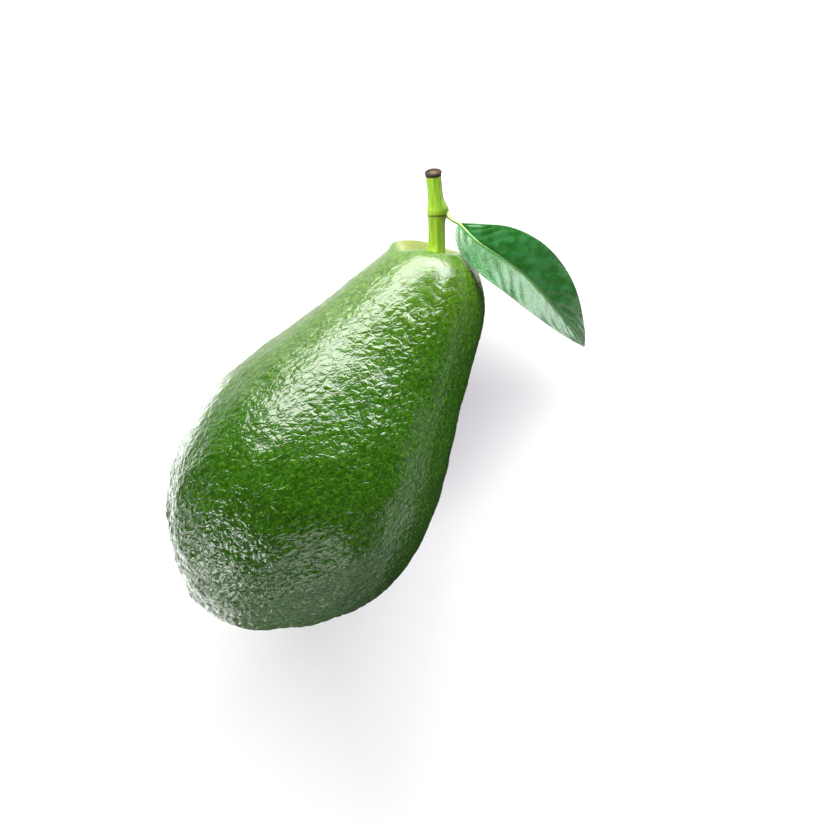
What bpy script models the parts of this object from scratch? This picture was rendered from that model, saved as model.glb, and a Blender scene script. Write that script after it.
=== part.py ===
# An avocado as picked: the whole fruit lying on its side, with its cut stem and one small leaf.
# Metres, +Z up. The origin is the middle of the small flat spot that the fruit rests on.
# Pieces are drawn in the fruit's own frame, X along its axis from blossom end to neck, Y towards
# the side that the stem leans to, Z towards the face that looks up, and then laid down together.
import math

import bmesh
import bpy
from mathutils import Matrix, Vector

MM = 0.001
WELD_DISTANCE = 0.01 * MM
SHARP_FROM_DEG = 50.0

# Fruit
FLATNESS = 0.975
SIDES = 64
RINGS_PER_SPAN = 2

# Slight unevenness of the skin: share of the radius, lobes round the fruit, twist per metre along it, start
SWELLS = [(0.0070, 2, 55.0, 0.0), (0.0042, 3, -90.0, 1.0)]

# Sections of the fruit from its blossom end: distance along, radius, sideways shift, lean in degrees
FRUIT_SECTIONS = [
    (-0.5 * MM, 1.1 * MM, 0.2 * MM, 0.0),
    (-0.3 * MM, 4.4 * MM, 0.2 * MM, 0.0),
    (0.5 * MM, 8.1 * MM, 0.3 * MM, 0.0),
    (2.7 * MM, 12.4 * MM, 0.6 * MM, 0.0),
    (6.2 * MM, 17.1 * MM, 0.8 * MM, 0.0),
    (10.6 * MM, 21.8 * MM, 0.8 * MM, 0.0),
    (15.8 * MM, 26.5 * MM, 0.6 * MM, 0.0),
    (21.8 * MM, 30.5 * MM, 0.3 * MM, 0.0),
    (28.7 * MM, 33.6 * MM, 0.1 * MM, 0.0),
    (36.2 * MM, 35.4 * MM, 0.0 * MM, 0.0),
    (44.0 * MM, 36.0 * MM, 0.0 * MM, 0.0),
    (55.0 * MM, 34.8 * MM, 0.0 * MM, 0.0),
    (66.0 * MM, 31.9 * MM, 0.0 * MM, 0.0),
    (77.0 * MM, 27.8 * MM, 0.1 * MM, 0.0),
    (88.0 * MM, 23.7 * MM, 0.2 * MM, 0.0),
    (99.0 * MM, 20.1 * MM, 0.3 * MM, 1.5),
    (107.5 * MM, 17.2 * MM, 0.8 * MM, 4.6),
    (112.0 * MM, 15.1 * MM, 1.7 * MM, 8.5),
    (115.2 * MM, 12.9 * MM, 3.5 * MM, 14.5),
    (117.2 * MM, 10.6 * MM, 5.3 * MM, 20.5),
    (118.2 * MM, 8.7 * MM, 6.4 * MM, 25.0),
]

# Stem cavity, sunk from the last section: depth below the rim and radius
CAVITY_SECTIONS = [
    (0.1 * MM, 7.6 * MM),
    (0.7 * MM, 6.6 * MM),
    (1.7 * MM, 5.7 * MM),
    (2.7 * MM, 4.7 * MM),
    (3.3 * MM, 3.5 * MM),
    (3.5 * MM, 1.6 * MM),
]

# How the picked fruit lies: neck a little low, rolled so that the leaf side is a little low too
NECK_DROOP_DEG = 11.6
ROLL_DEG = 10.0
REST_FROM_BASE = 52.9 * MM
REST_HEIGHT = 33.2 * MM
SURFACE_SIZE = (300.0 * MM, 300.0 * MM, 100.0 * MM)

# Stem: centreline points (along the axis, sideways, up) and the radius there
STEM_POINTS = [
    (115.7 * MM, 4.4 * MM, 0.0 * MM, 3.0 * MM),
    (116.9 * MM, 4.9 * MM, 0.0 * MM, 2.65 * MM),
    (118.6 * MM, 5.7 * MM, 0.0 * MM, 2.4 * MM),
    (121.0 * MM, 7.2 * MM, 0.1 * MM, 2.3 * MM),
    (123.8 * MM, 9.1 * MM, 0.2 * MM, 2.3 * MM),
    (125.8 * MM, 10.5 * MM, 0.3 * MM, 2.42 * MM),
    (126.6 * MM, 11.1 * MM, 0.3 * MM, 2.52 * MM),
    (127.4 * MM, 11.6 * MM, 0.3 * MM, 2.38 * MM),
    (129.3 * MM, 13.0 * MM, 0.4 * MM, 2.15 * MM),
    (131.6 * MM, 14.8 * MM, 0.4 * MM, 2.08 * MM),
    (133.6 * MM, 16.45 * MM, 0.4 * MM, 2.12 * MM),
    (134.9 * MM, 17.5 * MM, 0.4 * MM, 2.2 * MM),
]
STEM_POINTS_PER_SPAN = 2
STEM_BEVEL_RESOLUTION = 3
CUT_SLANT_DEG = 20.0
BUD_RADIUS = 0.85 * MM
BUD_AT = Vector((129.3 * MM, 11.0 * MM, 0.6 * MM))

# Leaf: the stalk's centreline points with the radius there, then the midrib's points with the blade's
# width on the side towards the fruit and on the other side
STALK_POINTS = [
    (128.15 * MM, 8.75 * MM, 0.3 * MM, 0.95 * MM),
    (128.5 * MM, 8.25 * MM, 0.6 * MM, 0.8 * MM),
    (128.45 * MM, 7.2 * MM, 1.2 * MM, 0.7 * MM),
    (127.9 * MM, 5.7 * MM, 2.2 * MM, 0.62 * MM),
    (127.5 * MM, 4.1 * MM, 3.2 * MM, 0.62 * MM),
]
MIDRIB_POINTS = [
    (127.5 * MM, 4.1 * MM, 3.2 * MM, 2.3 * MM, 0.6 * MM),
    (126.8 * MM, -2.4 * MM, 5.6 * MM, 6.5 * MM, 4.7 * MM),
    (127.1 * MM, -9.5 * MM, 6.8 * MM, 8.1 * MM, 7.7 * MM),
    (126.9 * MM, -17.2 * MM, 7.0 * MM, 8.3 * MM, 8.6 * MM),
    (125.5 * MM, -24.5 * MM, 6.4 * MM, 7.5 * MM, 8.0 * MM),
    (123.3 * MM, -31.6 * MM, 5.0 * MM, 5.8 * MM, 5.9 * MM),
    (120.6 * MM, -38.6 * MM, 2.8 * MM, 3.1 * MM, 2.7 * MM),
    (118.2 * MM, -43.2 * MM, 0.6 * MM, 0.2 * MM, 0.2 * MM),
]
MIDRIB_RADIUS_START = 0.62 * MM
MIDRIB_RADIUS_END = 0.42 * MM
MIDRIB_BELOW_BLADE = 0.35 * MM
MIDRIB_SINKS_OVER = 0.25
RIB_POINTS_PER_SPAN = 2
RIB_BEVEL_RESOLUTION = 2
BLADE_POINTS_PER_SPAN = 12
BLADE_THICKNESS = 0.7 * MM
BLADE_FOLD_DEG = 20.0
BLADE_TILT_DEG = -6.0
BLADE_FLATTER_MARGIN = 0.25
BLADE_WAVE = 0.35 * MM
BLADE_WAVES = 3.5
BLADE_WAVE_SKEW = 1.2
BLADE_STARTS = 0.015
BLADE_ENDS = 0.99
BLADE_ROWS = 26
BLADE_COLUMNS = 8

COLOURS = {
    "avocado_skin": ((0.045, 0.150, 0.012, 1.0), 0.38),
    "green_stem": ((0.300, 0.520, 0.035, 1.0), 0.45),
    "leaf_green": ((0.022, 0.170, 0.030, 1.0), 0.35),
}


def clear_scene():
    for thing in list(bpy.data.objects):
        bpy.data.objects.remove(thing)


def collection(name):
    made = bpy.data.collections.new(name)
    bpy.context.scene.collection.children.link(made)
    return made


def material(name):
    colour, roughness = COLOURS[name]
    made = bpy.data.materials.new(name)
    made.use_nodes = True
    shader = made.node_tree.nodes["Principled BSDF"]
    shader.inputs["Base Color"].default_value = colour
    shader.inputs["Roughness"].default_value = roughness
    shader.inputs["Metallic"].default_value = 0.0
    return made


def smooth_line(points, per_span):
    """Points on a smooth line through every given point, which may hold any count of values."""
    rows = [Vector(p) for p in points]
    rows = [2 * rows[0] - rows[1]] + rows + [2 * rows[-1] - rows[-2]]
    line = []
    for i in range(1, len(rows) - 2):
        before, start, end, after = rows[i - 1 : i + 3]
        for k in range(per_span):
            t = k / per_span
            line.append(
                0.5
                * (
                    2 * start
                    + (end - before) * t
                    + (2 * before - 5 * start + 4 * end - after) * t * t
                    + (3 * start - before - 3 * end + after) * t * t * t
                )
            )
    return line + [rows[-2]]


def keep(name, mesh, home, finish, parent):
    mesh.shade_smooth()
    mesh.set_sharp_from_angle(angle=math.radians(SHARP_FROM_DEG))
    mesh.materials.append(finish)
    made = bpy.data.objects.new(name, mesh)
    home.objects.link(made)
    made.parent = parent
    return made


def fruit_sections():
    """Each ring of the fruit's skin: its middle, its lean about Z in radians, and its radius."""
    rings = []
    plain = [(along, radius, shift) for along, radius, shift, _ in FRUIT_SECTIONS]
    leans = [(lean, 0.0) for *_, lean in FRUIT_SECTIONS]
    for place, lean in zip(smooth_line(plain, RINGS_PER_SPAN), smooth_line(leans, RINGS_PER_SPAN)):
        along, radius, shift = place
        rings.append((Vector((along, shift, 0)), math.radians(lean[0]), radius))
    rim, rim_lean, _ = rings[-1]
    inwards = Vector((-math.cos(rim_lean), -math.sin(rim_lean), 0))
    for depth, radius in CAVITY_SECTIONS:
        rings.append((rim + inwards * depth, rim_lean, radius))
    return rings


def swell(turn, along):
    """How far the skin stands out or in, as a share of its radius, at an angle round and a place along it."""
    return sum(
        share * math.sin(lobes * turn + twist * along + start) for share, lobes, twist, start in SWELLS
    )


def fruit_mesh():
    """The skin, lofted through leaning rings from the blossom scar to the floor of the stem cavity."""
    bm = bmesh.new()
    loops = []
    sections = fruit_sections()
    for number, (middle, lean, radius) in enumerate(sections):
        place = Matrix.Translation(middle) @ Matrix.Rotation(lean, 4, "Z")
        place = place @ Matrix.Rotation(math.pi / 2, 4, "Y")
        made = bmesh.ops.create_circle(
            bm, cap_ends=number in (0, len(sections) - 1), radius=radius, segments=SIDES, matrix=place
        )
        for vert in made["verts"]:
            arm = vert.co - middle
            vert.co += arm * swell(math.atan2(arm.z, arm.y), middle.x)
        loops.append(made["verts"])
    for low, high in zip(loops, loops[1:]):
        for i in range(SIDES):
            j = (i + 1) % SIDES
            bm.faces.new((low[i], low[j], high[j], high[i]))
    bmesh.ops.scale(bm, vec=(1, 1, FLATNESS), verts=bm.verts)
    bmesh.ops.recalc_face_normals(bm, faces=bm.faces)
    mesh = bpy.data.meshes.new("fruit")
    bm.to_mesh(mesh)
    bm.free()
    return mesh


def tube(points, sides_resolution):
    """A round tube as a mesh, through points that hold a place and a radius."""
    curve = bpy.data.curves.new("tube", "CURVE")
    curve.dimensions = "3D"
    curve.bevel_depth = MM
    curve.bevel_resolution = sides_resolution
    curve.use_fill_caps = True
    spline = curve.splines.new("POLY")
    spline.points.add(len(points) - 1)
    for knot, (x, y, z, radius) in zip(spline.points, points):
        knot.co = (x, y, z, 1)
        knot.radius = radius / MM
    holder = bpy.data.objects.new("tube", curve)
    bpy.context.scene.collection.objects.link(holder)
    seen = holder.evaluated_get(bpy.context.evaluated_depsgraph_get())
    mesh = bpy.data.meshes.new_from_object(seen)
    bpy.data.objects.remove(holder)
    bm = bmesh.new()
    bm.from_mesh(mesh)
    bmesh.ops.remove_doubles(bm, verts=bm.verts, dist=WELD_DISTANCE)
    bmesh.ops.recalc_face_normals(bm, faces=bm.faces)
    bm.to_mesh(mesh)
    bm.free()
    return mesh


def joined(first, second):
    """The Boolean union of two closed meshes, as one mesh."""
    home = bpy.context.scene.collection
    body = bpy.data.objects.new("body", first)
    other = bpy.data.objects.new("other", second)
    home.objects.link(body)
    home.objects.link(other)
    union = body.modifiers.new("union", "BOOLEAN")
    union.operation = "UNION"
    union.solver = "EXACT"
    union.object = other
    seen = body.evaluated_get(bpy.context.evaluated_depsgraph_get())
    mesh = bpy.data.meshes.new_from_object(seen)
    bpy.data.objects.remove(body)
    bpy.data.objects.remove(other)
    return mesh


def stem_mesh():
    """The stalk of the fruit: flared foot, swollen node, slanting cut and the bud beside the leaf."""
    line = smooth_line(STEM_POINTS, STEM_POINTS_PER_SPAN)
    stalk = tube([tuple(p) for p in line], STEM_BEVEL_RESOLUTION)
    end, before = (Vector(line[i][:3]) for i in (-1, -2))
    outwards = (end - before).normalized()
    slant = Matrix.Rotation(math.radians(CUT_SLANT_DEG), 3, outwards.cross(Vector((0, 0, 1)))) @ outwards
    bm = bmesh.new()
    bm.from_mesh(stalk)
    for vert in bm.verts:
        if (vert.co - before).dot(outwards) > (end - before).length / 2:
            vert.co -= outwards * (vert.co - end).dot(slant) / outwards.dot(slant)
    bm.to_mesh(stalk)
    bm.free()
    bud = bpy.data.meshes.new("bud")
    bm = bmesh.new()
    bmesh.ops.create_uvsphere(bm, u_segments=12, v_segments=8, radius=BUD_RADIUS)
    bmesh.ops.translate(bm, vec=BUD_AT, verts=bm.verts)
    bm.to_mesh(bud)
    bm.free()
    return joined(stalk, bud)


def blade_mesh():
    """The leaf blade: a grid laid along the midrib, folded, waved at its margin and given its thickness."""
    rows = smooth_line(MIDRIB_POINTS, BLADE_POINTS_PER_SPAN)
    bm = bmesh.new()
    bmesh.ops.create_grid(bm, x_segments=BLADE_ROWS, y_segments=BLADE_COLUMNS, size=1)
    for vert in bm.verts:
        share = BLADE_STARTS + (BLADE_ENDS - BLADE_STARTS) * (vert.co.x + 1) / 2
        side = vert.co.y
        at = share * (len(rows) - 1)
        i = min(int(at), len(rows) - 2)
        row = rows[i].lerp(rows[i + 1], at - i)
        middle, near_width, far_width = Vector(row[:3]), row[3], row[4]
        forwards = Vector((rows[i + 1] - rows[i])[:3]).normalized()
        across = forwards.cross(Vector((0, 0, 1))).normalized()
        across = Matrix.Rotation(math.radians(BLADE_TILT_DEG), 3, forwards) @ across
        upwards = across.cross(forwards)
        out = side * (near_width if side > 0 else far_width)
        lift = abs(out) * math.tan(math.radians(BLADE_FOLD_DEG)) * (1 - BLADE_FLATTER_MARGIN * abs(side))
        phase = BLADE_WAVES * 2 * math.pi * share + BLADE_WAVE_SKEW * side
        wave = BLADE_WAVE * math.sin(math.pi * share) * side * side * math.sin(phase)
        vert.co = middle + across * out + upwards * (lift + wave)
    bmesh.ops.triangulate(bm, faces=bm.faces)
    mesh = bpy.data.meshes.new("blade")
    bm.to_mesh(mesh)
    bm.free()
    holder = bpy.data.objects.new("blade", mesh)
    bpy.context.scene.collection.objects.link(holder)
    solid = holder.modifiers.new("thickness", "SOLIDIFY")
    solid.thickness = BLADE_THICKNESS
    solid.offset = 0
    seen = holder.evaluated_get(bpy.context.evaluated_depsgraph_get())
    made = bpy.data.meshes.new_from_object(seen)
    bpy.data.objects.remove(holder)
    return made


def leaf_mesh():
    """The leaf in one piece: stalk and midrib as one tapering rib, with the blade on it."""
    rib = [tuple(p) for p in smooth_line(STALK_POINTS, RIB_POINTS_PER_SPAN)[:-1]]
    spine = smooth_line(MIDRIB_POINTS, RIB_POINTS_PER_SPAN)[:-1]
    for number, p in enumerate(spine):
        share = number / (len(spine) - 1)
        radius = MIDRIB_RADIUS_START + (MIDRIB_RADIUS_END - MIDRIB_RADIUS_START) * share
        rib.append((p.x, p.y, p.z - MIDRIB_BELOW_BLADE * min(1, share / MIDRIB_SINKS_OVER), radius))
    return joined(blade_mesh(), tube(rib, RIB_BEVEL_RESOLUTION))


def main():
    clear_scene()
    parts = collection("avocado")
    cutters = collection("cutters")

    laid_down = bpy.data.objects.new("laid_down", None)
    parts.objects.link(laid_down)
    droop = Matrix.Rotation(math.radians(NECK_DROOP_DEG), 4, "Y")
    roll = Matrix.Rotation(math.radians(ROLL_DEG), 4, "X")
    rest_point = roll.inverted() @ Vector((REST_FROM_BASE, 0, 0))
    laid_down.matrix_world = Matrix.Translation((0, 0, REST_HEIGHT)) @ droop @ roll
    laid_down.matrix_world = laid_down.matrix_world @ Matrix.Translation(-rest_point)

    fruit = keep("fruit", fruit_mesh(), parts, material("avocado_skin"), laid_down)
    keep("stem", stem_mesh(), parts, material("green_stem"), laid_down)
    keep("leaf", leaf_mesh(), parts, material("leaf_green"), laid_down)

    bpy.ops.mesh.primitive_cube_add(size=1, location=(0, 0, -SURFACE_SIZE[2] / 2))
    surface = bpy.context.active_object
    surface.name = "surface_cutter"
    surface.scale = SURFACE_SIZE
    surface.display_type = "WIRE"
    surface.hide_render = True
    for home in list(surface.users_collection):
        home.objects.unlink(surface)
    cutters.objects.link(surface)
    flat = fruit.modifiers.new("flat_spot", "BOOLEAN")
    flat.operation = "DIFFERENCE"
    flat.solver = "EXACT"
    flat.object = surface


main()
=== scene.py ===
# Whole avocado lying on its side, with its cut stem and one leaf, on a pale studio floor.
# Everything is modelled in the fruit's own frame and laid down at the end: X runs along the fruit
# from the blossom end to the neck, Y to the side the stem leans to, Z to the side that looks up.
# Lengths in the dictionaries are in millimetres, unless a note says otherwise.
import math

import bpy
from mathutils import Matrix, Vector, noise


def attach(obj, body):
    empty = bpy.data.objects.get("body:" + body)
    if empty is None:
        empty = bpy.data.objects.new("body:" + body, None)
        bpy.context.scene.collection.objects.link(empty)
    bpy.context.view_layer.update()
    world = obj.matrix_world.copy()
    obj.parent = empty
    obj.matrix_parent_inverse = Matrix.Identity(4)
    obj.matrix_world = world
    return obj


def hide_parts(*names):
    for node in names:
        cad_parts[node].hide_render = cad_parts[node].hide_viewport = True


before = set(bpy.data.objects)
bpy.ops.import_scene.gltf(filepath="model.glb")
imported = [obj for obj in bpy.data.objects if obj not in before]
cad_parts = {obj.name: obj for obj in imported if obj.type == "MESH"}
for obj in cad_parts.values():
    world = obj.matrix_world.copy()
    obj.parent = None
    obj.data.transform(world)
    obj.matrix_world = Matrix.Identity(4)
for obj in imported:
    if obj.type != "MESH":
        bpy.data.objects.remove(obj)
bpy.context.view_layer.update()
mm = 0.001

# How the fruit lies: neck a little low, rolled so that the leaf side is a little low too
lying = {
    "droopDeg": 11.6,
    "rollDeg": 10.0,
    "restFromBase": 52.9,
    "restHeight": 33.2,
}
droop = Matrix.Rotation(math.radians(lying["droopDeg"]), 4, "Y")
roll = Matrix.Rotation(math.radians(lying["rollDeg"]), 4, "X")
restPoint = roll.inverted() @ Vector((lying["restFromBase"] * mm, 0, 0))
layDown = droop @ roll @ Matrix.Translation(-restPoint)
layDown = Matrix.Translation((0, 0, lying["restHeight"] * mm)) @ layDown
print("avocado: frame loaded,", len(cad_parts), "solids")


# Helpers for modelling

def deselectAll():
    if bpy.context.mode != "OBJECT":
        bpy.ops.object.mode_set(mode="OBJECT")
    bpy.ops.object.select_all(action="DESELECT")


def makeActive(piece):
    deselectAll()
    piece.select_set(True)
    bpy.context.view_layer.objects.active = piece


def applyModifiers(piece):
    makeActive(piece)
    for name in [m.name for m in piece.modifiers]:
        bpy.ops.object.modifier_apply(modifier=name)


def makeFiner(piece, levels):
    finer = piece.modifiers.new("finer", "SUBSURF")
    finer.levels = finer.render_levels = levels
    applyModifiers(piece)


def selectVerts(piece, chosen):
    # ends in edit mode with the vertices of these numbers selected
    makeActive(piece)
    bpy.ops.object.mode_set(mode="EDIT")
    bpy.ops.mesh.select_mode(type="VERT")
    bpy.ops.mesh.select_all(action="DESELECT")
    bpy.ops.object.mode_set(mode="OBJECT")
    for number in chosen:
        piece.data.vertices[number].select = True
    bpy.ops.object.mode_set(mode="EDIT")


def smoothLine(points, perSpan):
    # Catmull-Rom through the points, which may hold any count of values
    rows = [Vector(p) for p in points]
    rows = [2 * rows[0] - rows[1]] + rows + [2 * rows[-1] - rows[-2]]
    line = []
    for i in range(1, len(rows) - 2):
        before, start, end, after = rows[i - 1:i + 3]
        for k in range(perSpan):
            t = k / perSpan
            bend = (2 * before - 5 * start + 4 * end - after) * t * t
            swing = (3 * start - before - 3 * end + after) * t ** 3
            line.append(0.5 * (2 * start + (end - before) * t + bend + swing))
    return line + [rows[-2]]


def evenLine(rows, step):
    # the same line with its rows one step apart, measured over their first three values
    travelled = [0.0]
    for a, b in zip(rows, rows[1:]):
        travelled.append(travelled[-1] + (Vector(b[:3]) - Vector(a[:3])).length)
    count = round(travelled[-1] / step)
    even = []
    i = 0
    for k in range(count + 1):
        want = travelled[-1] * k / count
        while i < len(rows) - 2 and travelled[i + 1] < want:
            i += 1
        even.append(rows[i].lerp(rows[i + 1], (want - travelled[i]) / (travelled[i + 1] - travelled[i])))
    return even


def sweepRings(name, rings, sides):
    # rings of x, y, radius and lean: one circle, extruded ring by ring
    x, y, radius, lean = rings[0]
    deselectAll()
    bpy.ops.mesh.primitive_circle_add(
        vertices=sides, radius=radius, location=(x, y, 0), rotation=(0, math.pi / 2, lean)
    )
    piece = bpy.context.active_object
    piece.name = piece.data.name = name
    bpy.ops.object.transform_apply(location=True, rotation=True, scale=True)
    bpy.ops.object.mode_set(mode="EDIT")
    bpy.ops.mesh.select_all(action="SELECT")
    for (x, y, radius, lean), (xNext, yNext, radiusNext, leanNext) in zip(rings, rings[1:]):
        middle = (xNext, yNext, 0)
        bpy.ops.mesh.extrude_region_move(TRANSFORM_OT_translate={"value": (xNext - x, yNext - y, 0)})
        bpy.ops.transform.resize(value=(radiusNext / radius,) * 3, center_override=middle)
        bpy.ops.transform.rotate(value=-(leanNext - lean), orient_axis="Z", center_override=middle)
    bpy.ops.object.mode_set(mode="OBJECT")
    return piece


def closeEnds(piece):
    makeActive(piece)
    bpy.ops.object.mode_set(mode="EDIT")
    bpy.ops.mesh.select_all(action="DESELECT")
    bpy.ops.mesh.select_mode(type="EDGE")
    bpy.ops.mesh.select_non_manifold(extend=False)
    bpy.ops.mesh.edge_face_add()
    bpy.ops.mesh.select_all(action="SELECT")
    bpy.ops.mesh.normals_make_consistent(inside=False)
    bpy.ops.object.mode_set(mode="OBJECT")


def layPieceDown(piece):
    makeActive(piece)
    piece.matrix_world = layDown
    bpy.ops.object.transform_apply(location=True, rotation=True, scale=True)


# Helpers for materials

def newMaterial(name):
    made = bpy.data.materials.new(name)
    made.use_nodes = True
    tree = made.node_tree
    return made, tree, tree.nodes["Principled BSDF"]


def feed(tree, socket, value):
    # links another node's output, or sets a plain value
    if isinstance(value, bpy.types.NodeSocket):
        tree.links.new(value, socket)
    else:
        socket.default_value = value


def addNode(tree, kind, settings=None, **inputs):
    # input names are given with underscores for spaces
    node = tree.nodes.new(kind)
    for key, value in (settings or {}).items():
        setattr(node, key, value)
    for key, value in inputs.items():
        feed(tree, node.inputs[key.replace("_", " ")], value)
    return node


def mathNode(tree, operation, first, second=0.0, third=0.0):
    node = addNode(tree, "ShaderNodeMath", {"operation": operation})
    for socket, value in zip(node.inputs, (first, second, third)):
        feed(tree, socket, value)
    return node.outputs[0]


def vectorNode(tree, operation, first, second):
    node = addNode(tree, "ShaderNodeVectorMath", {"operation": operation})
    feed(tree, node.inputs[0], first)
    feed(tree, node.inputs["Scale"] if operation == "SCALE" else node.inputs[1], second)
    return node.outputs["Value"] if operation == "DISTANCE" else node.outputs["Vector"]


def smoothStep(tree, value, low, high, outLow=0.0, outHigh=1.0):
    node = addNode(
        tree, "ShaderNodeMapRange", {"interpolation_type": "SMOOTHSTEP"},
        Value=value, From_Min=low, From_Max=high, To_Min=outLow, To_Max=outHigh,
    )
    return node.outputs["Result"]


def mixColour(tree, share, first, second):
    # the colour inputs of a Mix node are its seventh and eighth
    node = addNode(tree, "ShaderNodeMix", {"data_type": "RGBA"})
    for number, value in ((0, share), (6, first), (7, second)):
        feed(tree, node.inputs[number], value)
    return node.outputs[2]


def newGroup(name, inputs, outputs):
    group = bpy.data.node_groups.new(name, "ShaderNodeTree")
    for title, kind, value in inputs:
        socket = group.interface.new_socket(title, in_out="INPUT", socket_type=kind)
        if value is not None:
            socket.default_value = value
    for title, kind in outputs:
        group.interface.new_socket(title, in_out="OUTPUT", socket_type=kind)
    start = group.nodes.new("NodeGroupInput")
    end = group.nodes.new("NodeGroupOutput")
    return group, start.outputs, end.inputs


def useGroup(tree, group, **inputs):
    node = addNode(tree, "ShaderNodeGroup", {"node_tree": group}, **inputs)
    return node.outputs


# Shader groups shared by the skin, the stem and the leaf

def makeFruitFrame():
    # Object coordinates turned back to the fruit's own frame, in millimetres
    group, start, end = newGroup("fruitFrame", [], [("Place", "NodeSocketVector")])
    place = addNode(group, "ShaderNodeTexCoord").outputs["Object"]
    turned = addNode(
        group, "ShaderNodeMapping", {"vector_type": "TEXTURE"},
        Vector=place,
        Location=layDown.translation,
        Rotation=(math.radians(lying["rollDeg"]), math.radians(lying["droopDeg"]), 0),
        Scale=(mm, mm, mm),
    ).outputs["Vector"]
    group.links.new(turned, end["Place"])
    return group


def makeMottle():
    # soft uneven colour: two shades mixed by noise of a given size
    group, start, end = newGroup(
        "mottle",
        [
            ("Place", "NodeSocketVector", None), ("Size", "NodeSocketFloat", 5.0),
            ("Dark", "NodeSocketColor", None), ("Light", "NodeSocketColor", None),
            ("Low", "NodeSocketFloat", 0.35), ("High", "NodeSocketFloat", 0.65),
        ],
        [("Colour", "NodeSocketColor")],
    )
    scale = mathNode(group, "DIVIDE", 1.0, start["Size"])
    cloud = addNode(
        group, "ShaderNodeTexNoise", Vector=start["Place"], Scale=scale, Detail=3.0, Roughness=0.55
    ).outputs["Fac"]
    share = smoothStep(group, cloud, start["Low"], start["High"])
    group.links.new(mixColour(group, share, start["Dark"], start["Light"]), end["Colour"])
    return group


def makeSpecks():
    # scattered round dots, one to a cell and some cells left empty; the core is the full part of a dot
    group, start, end = newGroup(
        "specks",
        [
            ("Place", "NodeSocketVector", None), ("Spacing", "NodeSocketFloat", 2.0),
            ("Radius", "NodeSocketFloat", 0.25), ("Core", "NodeSocketFloat", 0.45),
            ("Kept", "NodeSocketFloat", 0.7),
        ],
        [("Mask", "NodeSocketFloat")],
    )
    scale = mathNode(group, "DIVIDE", 1.0, start["Spacing"])
    cells = addNode(group, "ShaderNodeTexVoronoi", Vector=start["Place"], Scale=scale, Randomness=0.9)
    away = mathNode(group, "MULTIPLY", cells.outputs["Distance"], start["Spacing"])
    core = mathNode(group, "MULTIPLY", start["Radius"], start["Core"])
    dot = smoothStep(group, away, start["Radius"], core)
    luck = addNode(group, "ShaderNodeSeparateColor", Color=cells.outputs["Color"]).outputs["Red"]
    kept = mathNode(group, "LESS_THAN", luck, start["Kept"])
    group.links.new(mathNode(group, "MULTIPLY", dot, kept), end["Mask"])
    return group


def makePebbles():
    # height of a pebbled surface: domed cells with crooked creases between them, and a fine grain;
    # dome and crease are shares of a cell, warp is how crooked they are
    group, start, end = newGroup(
        "pebbles",
        [
            ("Place", "NodeSocketVector", None), ("Size", "NodeSocketFloat", 1.3),
            ("Dome Start", "NodeSocketFloat", -0.08), ("Dome", "NodeSocketFloat", 0.5),
            ("Crease", "NodeSocketFloat", 0.16), ("Crease Height", "NodeSocketFloat", -0.28),
            ("Warp", "NodeSocketFloat", 0.8),
            ("Grain", "NodeSocketFloat", 0.2), ("Grain Fineness", "NodeSocketFloat", 3.0),
        ],
        [("Height", "NodeSocketFloat"), ("Creases", "NodeSocketFloat")],
    )
    scale = mathNode(group, "DIVIDE", 1.0, start["Size"])
    drift = addNode(group, "ShaderNodeTexNoise", Vector=start["Place"], Scale=scale, Detail=2.0)
    push = vectorNode(group, "SUBTRACT", drift.outputs["Color"], (0.5, 0.5, 0.5))
    push = vectorNode(group, "SCALE", push, mathNode(group, "MULTIPLY", start["Warp"], start["Size"]))
    toEdge = addNode(
        group, "ShaderNodeTexVoronoi", {"feature": "DISTANCE_TO_EDGE"},
        Vector=vectorNode(group, "ADD", start["Place"], push), Scale=scale,
    ).outputs["Distance"]
    dome = smoothStep(group, toEdge, start["Dome Start"], start["Dome"])
    creases = smoothStep(group, toEdge, start["Crease"], 0.0)
    fineScale = mathNode(group, "MULTIPLY", scale, start["Grain Fineness"])
    fine = addNode(
        group, "ShaderNodeTexNoise", Vector=start["Place"], Scale=fineScale, Detail=2.0, Roughness=0.6
    ).outputs["Fac"]
    height = mathNode(group, "MULTIPLY_ADD", creases, start["Crease Height"], dome)
    height = mathNode(group, "MULTIPLY_ADD", fine, start["Grain"], height)
    group.links.new(height, end["Height"])
    group.links.new(creases, end["Creases"])
    return group


fruitFrame = makeFruitFrame()
mottle = makeMottle()
specks = makeSpecks()
pebbles = makePebbles()
print("avocado: shader groups ready")


# Fruit skin

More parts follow.
